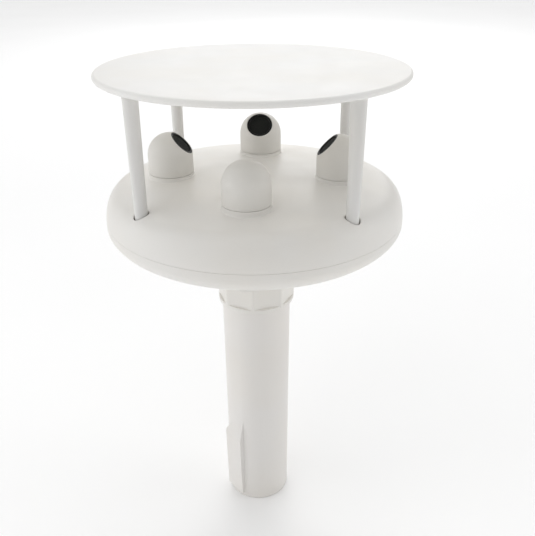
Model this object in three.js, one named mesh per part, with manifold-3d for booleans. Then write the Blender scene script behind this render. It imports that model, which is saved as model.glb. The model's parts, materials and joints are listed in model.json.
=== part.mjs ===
// Compact ultrasonic wind sensor: four angled transducers under a round reflector plate, on a
// sealed electronics housing and a mounting tube that slides over a mast.
// Millimetres, +Z up. The origin is the centre of the mounting tube's open lower end.
// +X is right, -Y is front.

import * as THREE from 'three';
import { mergeVertices } from 'three/addons/utils/BufferGeometryUtils.js';
import Module from 'manifold-3d';

const wasm = await Module();
wasm.setup();

// ---------------------------------------------------------------- driving dimensions

const PLATE_TOP = 246.4;            // overall height
const PLATE_RADIUS = 71;
const PLATE_THICKNESS = 2.85;

const BODY_RADIUS = 72;
const BODY_TOP = 195.5;             // centre of the crowned top
const BODY_CROWN = 3;               // fall of the crown from there to the legs
const BODY_SEAM = 177.8;            // between the two shells
const BODY_WIDEST = 175.6;          // level where the edge curves start
const BODY_BOTTOM = 162.7;
const SHOULDER_START = 61.5;        // radius where the crown turns into the shoulder
const BODY_BOTTOM_FLAT = 48;        // radius of the flat underside
const SHOULDER_POWER = 2.5;         // superellipse exponents of the two edge curves
const BOWL_POWER = 1.86;
const WALL = 2.6;

const LEG_CIRCLE = 63.9;
const LEG_RADIUS_TOP = 3.3;
const LEG_RADIUS_FOOT = 2.82;

const DOME_CIRCLE = 40.5;
const DOME_RADIUS = 10.8;
const DOME_CENTRE = 204.75;         // height of the hemisphere's centre
const FACE_OFFSET = 8.4;            // from that centre to the 45 degree cut

const TUBE_TOP_RADIUS = 17.75;      // the tube has a slight draft
const TUBE_FOOT_RADIUS = 17.05;
const SOCKET_RADIUS = 14.2;         // takes a 28 mm mast
const SOCKET_DEPTH = 60.2;
const WEB_SEAT = SOCKET_DEPTH + 0.6; // top of the recess for the connector's flange
const COLLAR_RADIUS = 19.9;         // to the corners of the octagonal collar
const COLLAR_BOTTOM = 128.4;
const COLLAR_RIM_HEIGHT = 2.2;      // round rim along the octagon's lower edge

// Pads on the tube: the direction that each faces, the tube axis to the foot and the head of
// its flat, and half its width.
const KEY = { angle: -137, footReach: 17.7, headReach: 18.6, halfWidth: 6.8 };
const LOCK_PAD = { angle: 90, footReach: 18.2, headReach: 18.2, halfWidth: 7.5 };
const LOCK_HEIGHTS = { lower: 13, upper: 32 };

const FIT_GAP = 0.3;                // between pieces that meet face to face

// Segment counts of the round shapes.
const BODY_SEGMENTS = 40;
const TUBE_SEGMENTS = 32;
const DOME_SEGMENTS = 20;
const SMALL_SEGMENTS = 12;
const SCREW_SEGMENTS = 8;
const BOSS_SEGMENTS = 8;

const SIDES = { right: 0, back: 90, left: 180, front: 270 };
const CORNERS = { back_right: 45, back_left: 135, front_left: 225, front_right: 315 };

// ---------------------------------------------------------------- materials

const LOOKS = {
  shell: { color: 0xe6e3de, roughness: 0.45, metalness: 0 },
  plate: { color: 0xeeedeb, roughness: 0.5, metalness: 0 },
  dome: { color: 0xdedbd4, roughness: 0.5, metalness: 0 },
  tube: { color: 0xe2e0dc, roughness: 0.4, metalness: 0 },
  transducer: { color: 0x242526, roughness: 0.7, metalness: 0 },
  rubber: { color: 0x0b0b0c, roughness: 0.35, metalness: 0 },
  steel: { color: 0xb9bcbf, roughness: 0.3, metalness: 1 },
  brass: { color: 0xb5904a, roughness: 0.35, metalness: 1 },
  board: { color: 0x1f5c38, roughness: 0.5, metalness: 0 },
  nylon: { color: 0x2a2a2c, roughness: 0.5, metalness: 0 },
  wire: { color: 0x3b3c40, roughness: 0.55, metalness: 0 },
};

// ---------------------------------------------------------------- shape helpers

const radians = THREE.MathUtils.degToRad;

// Turns [radius, height] points about Z. They run outwards, up the outside and back in; a
// profile that doesn't start on the axis is closed into a ring.
function revolve(points, segments) {
  const profile = points.map(([r, z]) => new THREE.Vector2(r, z));
  if (points[0][0] > 0) {
    profile.push(profile[0].clone());
  }
  return new THREE.LatheGeometry(profile, segments).rotateX(Math.PI / 2);
}

function cylinder(radius, bottom, top, segments = SMALL_SEGMENTS) {
  return revolve([[0, bottom], [radius, bottom], [radius, top], [0, top]], segments);
}

function ring(inner, outer, bottom, top, segments = SMALL_SEGMENTS) {
  return revolve([[inner, bottom], [outer, bottom], [outer, top], [inner, top]], segments);
}

function box(sizeX, sizeY, bottom, top) {
  return new THREE.BoxGeometry(sizeX, sizeY, top - bottom).translate(0, 0, (bottom + top) / 2);
}

// An upright slab: an outline of [radius, height] points, extruded across its radius.
function slab(outline, thickness) {
  const shape = new THREE.Shape(outline.map(([r, z]) => new THREE.Vector2(r, z)));
  const geometry = new THREE.ExtrudeGeometry(shape, { depth: thickness, bevelEnabled: false });
  return geometry.rotateX(Math.PI / 2).translate(0, thickness / 2, 0);
}

function polygon(sides, radius) {
  const points = [];
  for (let i = 0; i < sides; i += 1) {
    const angle = (2 * Math.PI * i) / sides;
    points.push(new THREE.Vector2(radius * Math.cos(angle), radius * Math.sin(angle)));
  }
  return points;
}

function hexNut(cornerRadius, holeRadius, bottom, height) {
  const shape = new THREE.Shape(polygon(6, cornerRadius));
  shape.holes.push(new THREE.Path(polygon(SMALL_SEGMENTS, holeRadius)));
  const geometry = new THREE.ExtrudeGeometry(shape, { depth: height, bevelEnabled: false });
  return geometry.translate(0, 0, bottom);
}

function wire(points, radius, steps) {
  const path = new THREE.CatmullRomCurve3(points.map((p) => new THREE.Vector3(...p)));
  const section = new THREE.Shape(polygon(8, radius));
  return new THREE.ExtrudeGeometry(section, { steps, extrudePath: path, bevelEnabled: false });
}

// Quarter of a superellipse, from the widest point to a surface whose level is a function of
// the radius.
function edgeCurve(widest, flat, start, levelAt, power, steps) {
  const points = [];
  for (let i = 0; i <= steps; i += 1) {
    const angle = (Math.PI / 2) * (i / steps);
    const across = i === steps ? 0 : Math.cos(angle) ** (2 / power);
    const radius = flat + (widest - flat) * across;
    const up = Math.sin(angle) ** (2 / power);
    points.push([radius, start + (levelAt(radius) - start) * up]);
  }
  return points;
}

// The crowned top of the housing.
function topLevel(radius) {
  return BODY_TOP - BODY_CROWN * (radius / LEG_CIRCLE) ** 2;
}

// ---------------------------------------------------------------- solids

function solid(geometry) {
  const bare = geometry.clone();
  bare.deleteAttribute('normal');
  bare.deleteAttribute('uv');
  const welded = mergeVertices(bare);
  const index = welded.index.array;
  const triangles = [];
  for (let i = 0; i < index.length; i += 3) {
    const [a, b, c] = [index[i], index[i + 1], index[i + 2]];
    if (a !== b && b !== c && c !== a) {
      triangles.push(a, b, c);
    }
  }
  return new wasm.Manifold(new wasm.Mesh({
    numProp: 3,
    vertProperties: new Float32Array(welded.attributes.position.array),
    triVerts: new Uint32Array(triangles),
  }));
}

function geometryOf(body) {
  const mesh = body.getMesh();
  const geometry = new THREE.BufferGeometry();
  geometry.setAttribute('position', new THREE.BufferAttribute(mesh.vertProperties, 3));
  geometry.setIndex(new THREE.BufferAttribute(mesh.triVerts, 1));
  geometry.computeVertexNormals();
  return geometry;
}

function join(body, geometries) {
  return geometries.reduce((whole, geometry) => whole.add(solid(geometry)), body);
}

function cut(body, geometries) {
  return geometries.reduce((whole, geometry) => whole.subtract(solid(geometry)), body);
}

// Copies of a geometry on a circle, one for each angle in a table of sides or corners.
function around(geometry, radius, table) {
  return Object.values(table).map((angle) => {
    const copy = geometry.clone().translate(radius, 0, 0);
    return copy.rotateZ(radians(angle));
  });
}

// ---------------------------------------------------------------- the assembly

const assembly = new THREE.Group();

function add(name, geometry, look, parent = assembly) {
  const mesh = new THREE.Mesh(geometry, new THREE.MeshStandardMaterial(LOOKS[look]));
  mesh.name = name;
  parent.add(mesh);
  return mesh;
}

// A group whose local +X points out along an angle, its origin on a circle about Z.
function station(angle, radius) {
  const group = new THREE.Group();
  group.position.set(radius * Math.cos(radians(angle)), radius * Math.sin(radians(angle)), 0);
  group.rotation.z = radians(angle);
  assembly.add(group);
  return group;
}

// A pan-head screw with a hexagon socket: shank up from z = 0, head below it.
function panScrew(headRadius, headHeight, shankRadius, length) {
  const chamfer = 0.4;
  const profile = [
    [0, -headHeight],
    [headRadius - chamfer, -headHeight],
    [headRadius, chamfer - headHeight],
    [headRadius, 0],
    [shankRadius, 0],
    [shankRadius, length],
    [0, length],
  ];
  const socketRadius = headRadius * 0.45;
  const socketTop = -headHeight * 0.4;
  const socket = cylinder(socketRadius, -headHeight - 1, socketTop, 6);
  return geometryOf(cut(solid(revolve(profile, SCREW_SEGMENTS)), [socket]));
}

// ---------------------------------------------------------------- reflector plate and legs

const PLATE_UNDERSIDE = PLATE_TOP - PLATE_THICKNESS;
const LEG_BOSS_HEIGHT = 1.4;
const LEG_BOSS_RADIUS = 4.5;
const LEG_TENON_RADIUS = 2.05;
const LEG_TENON_LENGTH = 2.6;
const LEG_POCKET_FLOOR = 184;
const LEG_POCKET_CLEARANCE = 0.55;
const LEG_PILOT_RADIUS = 1.55;
const LEG_PILOT_TOP = 196;
const LEG_BOSS_BOTTOM = 181.4;
const LEG_SCREW_RADIUS = 1.35;

const legTop = PLATE_UNDERSIDE - LEG_BOSS_HEIGHT - FIT_GAP;

function reflectorPlate() {
  const half = PLATE_THICKNESS / 2;
  const steps = 4;
  const profile = [[0, PLATE_UNDERSIDE]];
  for (let i = 0; i <= steps; i += 1) {
    const angle = Math.PI * (i / steps - 0.5);
    const reach = PLATE_RADIUS - half + half * Math.cos(angle);
    profile.push([reach, PLATE_UNDERSIDE + half + half * Math.sin(angle)]);
  }
  profile.push([0, PLATE_TOP]);
  const boss = revolve([
    [0, PLATE_UNDERSIDE - LEG_BOSS_HEIGHT],
    [LEG_RADIUS_TOP + 0.1, PLATE_UNDERSIDE - LEG_BOSS_HEIGHT],
    [LEG_BOSS_RADIUS, PLATE_UNDERSIDE],
    [LEG_BOSS_RADIUS, PLATE_UNDERSIDE + 1],
    [0, PLATE_UNDERSIDE + 1],
  ], SMALL_SEGMENTS);
  const tenonTop = legTop + LEG_TENON_LENGTH + FIT_GAP;
  const mortise = cylinder(LEG_TENON_RADIUS + FIT_GAP, PLATE_UNDERSIDE - 5, tenonTop);
  const disc = solid(revolve(profile, BODY_SEGMENTS));
  const bossed = join(disc, around(boss, LEG_CIRCLE, CORNERS));
  return geometryOf(cut(bossed, around(mortise, LEG_CIRCLE, CORNERS)));
}

// A tapered post: tenon at the top, screw pilot hole in the foot.
function leg() {
  const foot = LEG_POCKET_FLOOR + FIT_GAP;
  return revolve([
    [0, LEG_PILOT_TOP],
    [LEG_PILOT_RADIUS, LEG_PILOT_TOP],
    [LEG_PILOT_RADIUS, foot],
    [LEG_RADIUS_FOOT, foot],
    [LEG_RADIUS_FOOT, topLevel(LEG_CIRCLE)],
    [LEG_RADIUS_TOP, legTop],
    [LEG_TENON_RADIUS, legTop],
    [LEG_TENON_RADIUS, legTop + LEG_TENON_LENGTH],
    [0, legTop + LEG_TENON_LENGTH],
  ], SMALL_SEGMENTS);
}

add('reflector_plate', reflectorPlate(), 'plate');
for (const [name, angle] of Object.entries(CORNERS)) {
  const spot = station(angle, LEG_CIRCLE);
  add(`leg_${name}`, leg(), 'plate', spot);
  const screw = add(`leg_screw_${name}`, panScrew(2.9, 2.2, LEG_SCREW_RADIUS, 13), 'steel', spot);
  screw.position.z = LEG_BOSS_BOTTOM - FIT_GAP;
}

// ---------------------------------------------------------------- housing shells

const EDGE_STEPS = 6;
const SEAM_GAP = 0.3;
const FLANGE_RADIUS = 67.3;         // inside of the thick rims along the seam
const UPPER_RIM = BODY_SEAM + SEAM_GAP / 2;
const LOWER_RIM = BODY_SEAM - SEAM_GAP / 2;
const FLOOR = BODY_BOTTOM + WALL;

const SEAT_TOP = 196.3;             // raised seats under the domes
const SEAT_RADIUS = DOME_RADIUS + 0.1;
const NUT_SEAT = 190.8;             // flat pads under the ceiling for the dome nuts
const SPIGOT_RADIUS = 5.5;
const SPIGOT_HOLE = 5.8;

const HOUSING_SCREW_CIRCLE = 57;
const HOUSING_SCREW_SEAT = 167.5;
const HOUSING_SCREW_RADIUS = 1.45;
const BOARD_SCREW_CIRCLE = 46;
const BOARD_BOTTOM = 178;
const BOARD_THICKNESS = 1.6;

const COLLAR_SIDES = 8;
const COLLAR_BORE = 16;
const SEAL_GROOVE = { inner: 68.4, outer: 70.4, floor: BODY_SEAM - 1.7 };

function upperShell() {
  const shoulder = edgeCurve(BODY_RADIUS, SHOULDER_START, BODY_WIDEST, topLevel, SHOULDER_POWER,
    EDGE_STEPS);
  const outer = revolve([
    [0, UPPER_RIM],
    [BODY_RADIUS, UPPER_RIM],
    ...shoulder.slice(1),
    [40, topLevel(40)],
    [20, topLevel(20)],
    [0, BODY_TOP],
  ], BODY_SEGMENTS);
  const hollow = revolve([
    [0, UPPER_RIM - 1],
    [FLANGE_RADIUS, UPPER_RIM - 1],
    [FLANGE_RADIUS, UPPER_RIM + 1.6],
    ...edgeCurve(BODY_RADIUS - WALL, SHOULDER_START - 1.5, UPPER_RIM + WALL,
      (radius) => topLevel(radius) - WALL, SHOULDER_POWER, EDGE_STEPS - 2),
    [40, topLevel(40) - WALL],
    [20, topLevel(20) - WALL],
    [0, BODY_TOP - WALL],
  ], BODY_SEGMENTS);
  const legBoss = cylinder(5.2, LEG_BOSS_BOTTOM, BODY_TOP - 0.5);
  const legPocket = cylinder(LEG_RADIUS_FOOT + LEG_POCKET_CLEARANCE, LEG_POCKET_FLOOR, BODY_TOP + 5);
  const legHole = cylinder(LEG_SCREW_RADIUS + FIT_GAP, LEG_BOSS_BOTTOM - 5, BODY_TOP, SCREW_SEGMENTS);
  const screwBoss = cylinder(4.2, UPPER_RIM, BODY_TOP - 1, BOSS_SEGMENTS);
  const screwHole = cylinder(HOUSING_SCREW_RADIUS + 0.2, UPPER_RIM - 5, 187.5, SCREW_SEGMENTS);
  const seat = cylinder(SEAT_RADIUS, SEAT_TOP - 3.8, SEAT_TOP, DOME_SEGMENTS);
  const nutPad = cylinder(9, NUT_SEAT, SEAT_TOP - 3.5);
  const spigotHole = cylinder(SPIGOT_HOLE, NUT_SEAT - 5, SEAT_TOP + 5);

  const blank = solid(outer);
  const bosses = [
    ...around(legBoss, LEG_CIRCLE, CORNERS),
    ...around(screwBoss, HOUSING_SCREW_CIRCLE, SIDES),
    ...around(nutPad, DOME_CIRCLE, SIDES),
  ].map((geometry) => solid(geometry).intersect(blank));
  const bossed = bosses.reduce((whole, boss) => whole.add(boss), cut(blank, [hollow]));
  const seated = join(bossed, around(seat, DOME_CIRCLE, SIDES));
  return geometryOf(cut(seated, [
    ...around(legPocket, LEG_CIRCLE, CORNERS),
    ...around(legHole, LEG_CIRCLE, CORNERS),
    ...around(screwHole, HOUSING_SCREW_CIRCLE, SIDES),
    ...around(spigotHole, DOME_CIRCLE, SIDES),
  ]));
}

function lowerShell() {
  const bowl = edgeCurve(BODY_RADIUS, BODY_BOTTOM_FLAT, BODY_WIDEST, () => BODY_BOTTOM, BOWL_POWER,
    EDGE_STEPS);
  const outer = revolve([
    [0, BODY_BOTTOM],
    ...bowl.reverse(),
    [BODY_RADIUS, LOWER_RIM],
    [0, LOWER_RIM],
  ], BODY_SEGMENTS);
  const collarRim = cylinder(COLLAR_RADIUS - 0.2, COLLAR_BOTTOM, COLLAR_BOTTOM + COLLAR_RIM_HEIGHT,
    TUBE_SEGMENTS);
  const collar = revolve([
    [0, COLLAR_BOTTOM + 1],
    [COLLAR_RADIUS, COLLAR_BOTTOM + 1],
    [COLLAR_RADIUS, BODY_BOTTOM - 2],
    [COLLAR_RADIUS + 0.7, BODY_BOTTOM - 0.7],
    [COLLAR_RADIUS + 2, BODY_BOTTOM],
    [COLLAR_RADIUS + 2, BODY_BOTTOM + 1],
    [0, BODY_BOTTOM + 1],
  ], COLLAR_SIDES);
  const inside = edgeCurve(BODY_RADIUS - WALL, BODY_BOTTOM_FLAT - 1, LOWER_RIM - WALL, () => FLOOR,
    BOWL_POWER, EDGE_STEPS - 2);
  const hollow = revolve([
    [0, FLOOR],
    ...inside.reverse(),
    [FLANGE_RADIUS, LOWER_RIM - 1.6],
    [FLANGE_RADIUS, LOWER_RIM + 1],
    [0, LOWER_RIM + 1],
  ], BODY_SEGMENTS);
  const { inner, outer: groove, floor } = SEAL_GROOVE;
  const sealGroove = ring(inner, groove, floor, LOWER_RIM + 1, BODY_SEGMENTS);
  const bore = cylinder(COLLAR_BORE, COLLAR_BOTTOM - 5, FLOOR + 5, TUBE_SEGMENTS);
  const screwBoss = cylinder(5, BODY_BOTTOM, LOWER_RIM, BOSS_SEGMENTS);
  const counterbore = cylinder(3.5, BODY_BOTTOM - 5, HOUSING_SCREW_SEAT);
  const screwHole = cylinder(HOUSING_SCREW_RADIUS + 0.3, BODY_BOTTOM, LOWER_RIM + 5, SCREW_SEGMENTS);
  const boardBoss = cylinder(3.6, FLOOR - 1, BOARD_BOTTOM - FIT_GAP, BOSS_SEGMENTS);
  const boardHole = cylinder(1.4, FLOOR + 4, BOARD_BOTTOM + 5, SCREW_SEGMENTS);

  const blank = solid(outer);
  const bosses = around(screwBoss, HOUSING_SCREW_CIRCLE, SIDES).map((g) => solid(g).intersect(blank));
  const bossed = bosses.reduce((whole, boss) => whole.add(boss), cut(blank, [hollow]));
  const fitted = join(bossed, [
    collar,
    collarRim,
    ...around(boardBoss, BOARD_SCREW_CIRCLE, CORNERS),
  ]);
  return geometryOf(cut(fitted, [
    sealGroove,
    bore,
    ...around(counterbore, HOUSING_SCREW_CIRCLE, SIDES),
    ...around(screwHole, HOUSING_SCREW_CIRCLE, SIDES),
    ...around(boardHole, BOARD_SCREW_CIRCLE, CORNERS),
  ]));
}

function shellSeal() {
  const { inner, outer, floor } = SEAL_GROOVE;
  return ring(inner + 0.2, outer - 0.2, floor + 0.2, BODY_SEAM, BODY_SEGMENTS);
}

add('upper_shell', upperShell(), 'shell');
add('lower_shell', lowerShell(), 'shell');
add('shell_seal', shellSeal(), 'rubber');
for (const [name, angle] of Object.entries(SIDES)) {
  const spot = station(angle, HOUSING_SCREW_CIRCLE);
  const screw = add(`housing_screw_${name}`, panScrew(3, 2.4, HOUSING_SCREW_RADIUS, 18), 'steel', spot);
  screw.position.z = HOUSING_SCREW_SEAT - FIT_GAP;
}

// ---------------------------------------------------------------- ultrasonic heads

const DOME_BASE = SEAT_TOP + FIT_GAP;
const DOME_SEAL = { inner: 7, outer: 9, height: 1.4 };
const SPIGOT_BOTTOM = 185.2;
const FACE_BORE = 6.55;
const FACE_BORE_DEPTH = 7.8;
const LEAD_RADIUS = 0.8;
const SLEEVE_OUTER = FACE_BORE - 0.25;
const SLEEVE_INNER = 5.55;
const TRANSDUCER_RADIUS = SLEEVE_INNER - 0.25;
const FACE_RECESS = 0.45;

// Puts a shape built up +Z on a dome's listening axis: 45 degrees up and inwards.
function onListeningAxis(geometry) {
  return geometry.rotateY(-Math.PI / 4).translate(0, 0, DOME_CENTRE);
}

// Round-topped cap with a flat cut at 45 degrees, a bore for the transducer, a seal groove in
// its base and a hollow threaded spigot that passes through the housing.
function sensorDome() {
  const steps = 5;
  const profile = [[0, DOME_BASE], [DOME_RADIUS, DOME_BASE]];
  for (let i = 0; i < steps; i += 1) {
    const angle = (Math.PI / 2) * (i / steps);
    profile.push([DOME_RADIUS * Math.cos(angle), DOME_CENTRE + DOME_RADIUS * Math.sin(angle)]);
  }
  profile.push([0, DOME_CENTRE + DOME_RADIUS]);
  const spigot = cylinder(SPIGOT_RADIUS, SPIGOT_BOTTOM, DOME_BASE + 1);
  const slice = onListeningAxis(box(40, 40, FACE_OFFSET, FACE_OFFSET + 20));
  const boreFloor = FACE_OFFSET - FACE_BORE_DEPTH;
  const faceBore = onListeningAxis(cylinder(FACE_BORE, boreFloor, FACE_OFFSET + 5, DOME_SEGMENTS));
  const channel = cylinder(1.7, SPIGOT_BOTTOM - 5, DOME_CENTRE + 3, SCREW_SEGMENTS);
  const { inner, outer, height } = DOME_SEAL;
  const sealGroove = ring(inner, outer, DOME_BASE - 1, DOME_BASE + height);
  const cap = join(solid(revolve(profile, DOME_SEGMENTS)), [spigot]);
  return geometryOf(cut(cap, [slice, faceBore, channel, sealGroove]));
}

function transducer() {
  const front = FACE_OFFSET - FACE_RECESS;
  const back = FACE_OFFSET - FACE_BORE_DEPTH + 1.2;
  return onListeningAxis(cylinder(TRANSDUCER_RADIUS, back, front));
}

function transducerSleeve() {
  const back = FACE_OFFSET - FACE_BORE_DEPTH + 0.4;
  return onListeningAxis(ring(SLEEVE_INNER, SLEEVE_OUTER, back, FACE_OFFSET - 0.1, DOME_SEGMENTS));
}

// From the back of the transducer, down the spigot, to the circuit board.
function transducerLead() {
  const boardTop = BOARD_BOTTOM + BOARD_THICKNESS;
  return wire([
    [-0.8, 0, DOME_CENTRE + 0.8],
    [0, 0, DOME_CENTRE - 2],
    [0, 0, DOME_CENTRE - 9],
    [0, 0, SPIGOT_BOTTOM],
    [-1.2, 0, SPIGOT_BOTTOM - 2],
    [-1.6, 0, boardTop + FIT_GAP],
  ], LEAD_RADIUS, 10);
}

for (const [name, angle] of Object.entries(SIDES)) {
  const spot = station(angle, DOME_CIRCLE);
  const { inner, outer, height } = DOME_SEAL;
  const seal = ring(inner + 0.2, outer - 0.2, SEAT_TOP + 0.1, DOME_BASE + height - 0.2);
  add(`sensor_dome_${name}`, sensorDome(), 'dome', spot);
  add(`transducer_${name}`, transducer(), 'transducer', spot);
  add(`transducer_sleeve_${name}`, transducerSleeve(), 'rubber', spot);
  add(`transducer_lead_${name}`, transducerLead(), 'wire', spot);
  add(`dome_seal_${name}`, seal, 'rubber', spot);
  add(`dome_nut_${name}`, hexNut(8.1, SPIGOT_RADIUS + 0.2, NUT_SEAT - 4.5, 4.2), 'nylon', spot);
}

// ---------------------------------------------------------------- electronics

const BOARD_RADIUS = 52;
const HEADER_BOTTOM = 172.5;

function mainBoard() {
  const top = BOARD_BOTTOM + BOARD_THICKNESS;
  const disc = solid(cylinder(BOARD_RADIUS, BOARD_BOTTOM, top, BODY_SEGMENTS));
  const hole = cylinder(1.6, BOARD_BOTTOM - 1, top + 1, SCREW_SEGMENTS);
  return geometryOf(cut(disc, around(hole, BOARD_SCREW_CIRCLE, CORNERS)));
}

const boardTop = BOARD_BOTTOM + BOARD_THICKNESS;
add('main_board', mainBoard(), 'board');
add('shield_can', box(34, 34, boardTop + 0.2, boardTop + 3.4), 'steel');
add('harness_header', box(14, 7, HEADER_BOTTOM, BOARD_BOTTOM - 0.2), 'nylon');
for (const [name, angle] of Object.entries(CORNERS)) {
  const spot = station(angle, BOARD_SCREW_CIRCLE);
  const screw = add(`board_screw_${name}`, panScrew(2.6, 1.8, 1.15, 8), 'steel', spot);
  screw.rotation.x = Math.PI;
  screw.position.z = boardTop + FIT_GAP;
}

// ---------------------------------------------------------------- mounting tube

const TUBE_TOP = 171;
const TUBE_SHOULDER = COLLAR_BOTTOM - FIT_GAP;
const TENON_RADIUS = COLLAR_BORE - FIT_GAP;
const UPPER_BORE = 12.6;
const WEB_THICKNESS = 3.2;
const CONNECTOR_HOLE = 6.3;
const NECK_SEAL = { floor: 14.5, bottom: 140, height: 2.2 };
const INSERT_RADIUS = 3.6;
const INSERT_SEAT = 15;
const LOCK_RADIUS = 2.4;
const END_CHAMFER = 0.6;
const PAD_BOTTOM = 3.2;

// A flat pad on the tube whose top slopes back into it.
function padBlock({ footReach, headReach, halfWidth }) {
  return slab([
    [SOCKET_RADIUS - 1, PAD_BOTTOM],
    [footReach, PAD_BOTTOM],
    [headReach, 42.5],
    [SOCKET_RADIUS + 1, 61.5],
    [SOCKET_RADIUS - 1, 61.5],
  ], 2 * halfWidth);
}

// The key has one upper corner cut away, across its face.
function keyPad() {
  const corner = new THREE.Shape();
  corner.moveTo(-8, 42.7);
  corner.lineTo(-4.2, 48.5);
  corner.lineTo(0.5, 51.2);
  corner.lineTo(0.5, 63);
  corner.lineTo(-8, 63);
  const cutter = new THREE.ExtrudeGeometry(corner, { depth: 30, bevelEnabled: false });
  cutter.rotateX(Math.PI / 2).rotateZ(Math.PI / 2);
  return geometryOf(cut(solid(padBlock(KEY)), [cutter]));
}

// A shape built up +Z is laid along +X at a height.
function alongX(geometry, height) {
  return geometry.rotateY(Math.PI / 2).translate(0, 0, height);
}

function mountingTube() {
  const { floor, bottom, height } = NECK_SEAL;
  const outer = revolve([
    [0, 0],
    [TUBE_FOOT_RADIUS - END_CHAMFER, 0],
    [TUBE_FOOT_RADIUS, END_CHAMFER],
    [TUBE_TOP_RADIUS, TUBE_SHOULDER],
    [TENON_RADIUS, TUBE_SHOULDER],
    [TENON_RADIUS, bottom],
    [floor, bottom],
    [floor, bottom + height],
    [TENON_RADIUS, bottom + height],
    [TENON_RADIUS, TUBE_TOP],
    [0, TUBE_TOP],
  ], TUBE_SEGMENTS);
  const socket = cylinder(SOCKET_RADIUS, -5, SOCKET_DEPTH, TUBE_SEGMENTS);
  const upperBore = cylinder(UPPER_BORE, SOCKET_DEPTH + WEB_THICKNESS, TUBE_TOP + 5, TUBE_SEGMENTS);
  const webHole = cylinder(CONNECTOR_HOLE, SOCKET_DEPTH - 5, TUBE_TOP, SMALL_SEGMENTS);
  const webRecess = cylinder(9.4, SOCKET_DEPTH - 5, WEB_SEAT, TUBE_SEGMENTS);
  const padTurn = radians(LOCK_PAD.angle);
  const lockHoles = Object.values(LOCK_HEIGHTS).flatMap((z) => [
    alongX(cylinder(INSERT_RADIUS + 0.2, INSERT_SEAT, LOCK_PAD.footReach + 5), z).rotateZ(padTurn),
    alongX(cylinder(LOCK_RADIUS + 0.4, 8, LOCK_PAD.footReach), z).rotateZ(padTurn),
  ]);
  const padded = join(solid(outer), [
    keyPad().rotateZ(radians(KEY.angle)),
    padBlock(LOCK_PAD).rotateZ(padTurn),
  ]);
  return geometryOf(cut(padded, [socket, upperBore, webHole, webRecess, ...lockHoles]));
}

// A ring nut with spanner notches, tightened on the tube's threaded end inside the housing.
function tubeLocknut() {
  const outer = 21;
  const notch = 1.8;
  const inner = TENON_RADIUS + 0.2;
  const bottom = FLOOR + FIT_GAP;
  const blank = solid(ring(inner, outer, bottom, bottom + 4.6, TUBE_SEGMENTS));
  const cutter = box(2 * notch, 5, bottom - 1, bottom + 6);
  return geometryOf(cut(blank, [...around(cutter, outer, SIDES), ...around(cutter, outer, CORNERS)]));
}

function neckSeal() {
  const { floor, bottom, height } = NECK_SEAL;
  return ring(floor + 0.2, COLLAR_BORE - 0.15, bottom + 0.2, bottom + height - 0.2, TUBE_SEGMENTS);
}

// A headless screw with a hexagon socket, its tip towards the mast.
function lockScrew() {
  const tip = 13.6;
  const end = LOCK_PAD.footReach - 0.2;
  const chamfer = 0.4;
  const body = revolve([
    [0, tip],
    [LOCK_RADIUS - chamfer, tip],
    [LOCK_RADIUS, tip + chamfer],
    [LOCK_RADIUS, end - chamfer],
    [LOCK_RADIUS - chamfer, end],
    [0, end],
  ], SMALL_SEGMENTS);
  return geometryOf(cut(solid(body), [cylinder(1.45, end - 2, end + 1, 6)]));
}

add('mounting_tube', mountingTube(), 'tube');
add('tube_locknut', tubeLocknut(), 'nylon');
add('neck_seal', neckSeal(), 'rubber');
const padSide = station(LOCK_PAD.angle, 0);
for (const [name, height] of Object.entries(LOCK_HEIGHTS)) {
  const insert = ring(LOCK_RADIUS + 0.12, INSERT_RADIUS, INSERT_SEAT + 0.2, LOCK_PAD.footReach - 0.2);
  add(`lock_insert_${name}`, alongX(insert, height), 'brass', padSide);
  add(`lock_screw_${name}`, alongX(lockScrew(), height), 'steel', padSide);
}

// ---------------------------------------------------------------- connector and harness

const CONNECTOR_BOTTOM = 48;
const CONNECTOR_TOP = 69;
const CONNECTOR_BORE = 5.2;
const INSERT_BOTTOM = 54;
const INSERT_TOP = 66.5;
const CONNECTOR_SEAL = 1.1;
const PIN_COUNT = 5;
const PIN_CIRCLE = 3;

function connectorShell() {
  const flange = WEB_SEAT - CONNECTOR_SEAL - 0.2;
  return revolve([
    [CONNECTOR_BORE, CONNECTOR_BOTTOM],
    [6.9, CONNECTOR_BOTTOM],
    [6.9, flange - 2],
    [8.6, flange - 2],
    [8.6, flange],
    [CONNECTOR_HOLE - 0.3, flange],
    [CONNECTOR_HOLE - 0.3, CONNECTOR_TOP],
    [CONNECTOR_BORE, CONNECTOR_TOP],
  ], SMALL_SEGMENTS);
}

function connectorInsert() {
  const plug = solid(cylinder(CONNECTOR_BORE - 0.2, INSERT_BOTTOM, INSERT_TOP));
  const pins = [];
  for (let i = 0; i < PIN_COUNT; i += 1) {
    const pin = cylinder(0.5, CONNECTOR_BOTTOM + 1.5, INSERT_BOTTOM + 1, 8);
    pins.push(pin.translate(PIN_CIRCLE, 0, 0).rotateZ((2 * Math.PI * i) / PIN_COUNT));
  }
  return geometryOf(join(plug, pins));
}

// Multi-core lead from the back of the connector up to the header under the board.
function wiringHarness() {
  return wire([
    [0, 0, INSERT_TOP + 0.4],
    [0, 0, 74],
    [3.5, 1, 96],
    [-2.5, 2, 126],
    [1.5, -2, 150],
    [0, 0, 166],
    [0, 0, HEADER_BOTTOM - FIT_GAP],
  ], 2.3, 16);
}

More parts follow.
